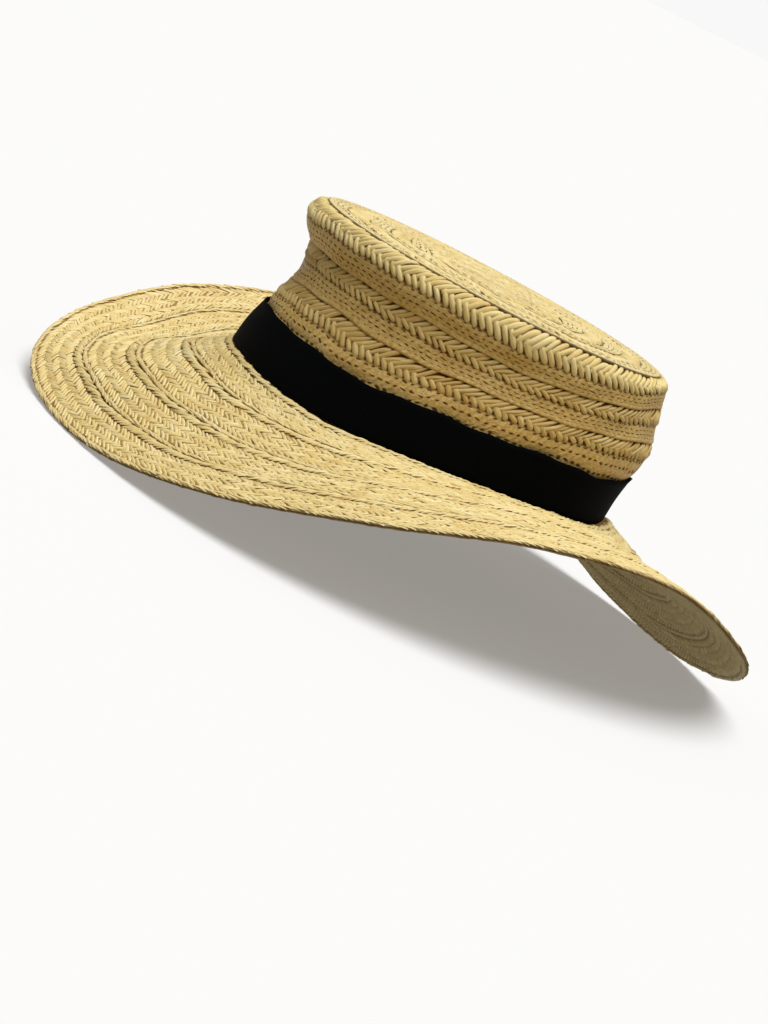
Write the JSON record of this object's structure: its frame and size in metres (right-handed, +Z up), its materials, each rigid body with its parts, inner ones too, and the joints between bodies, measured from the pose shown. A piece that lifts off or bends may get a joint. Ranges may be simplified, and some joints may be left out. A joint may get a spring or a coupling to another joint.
{
  "type": "wide-brim straw boater hat",
  "caption": "Straw hat with a flat-topped oval crown, a plain dark ribbon round its foot, and a wide wavy brim that droops front and back.",
  "frame": {"origin": "on the surface the hat lies on, under the middle of its bounding box", "axes": "+Z up, -Y to the wearer's front, +X to the wearer's left; the crown's own axis leans about two degrees from +Z as the hat rests on its brim"},
  "size_m": [0.3746, 0.3886, 0.1426],
  "materials": {
    "straw_tip": "sewn straw braid, natural, satin",
    "straw_side": "sewn straw braid, natural, satin",
    "straw_brim": "sewn straw braid, natural, satin",
    "ribbon": "plain matte ribbon"
  },
  "bodies": {
    "root": {"crown_tip": "straw_tip", "crown_side": "straw_side", "brim": "straw_brim", "ribbon_band": "ribbon"}
  },
  "joints": []
}
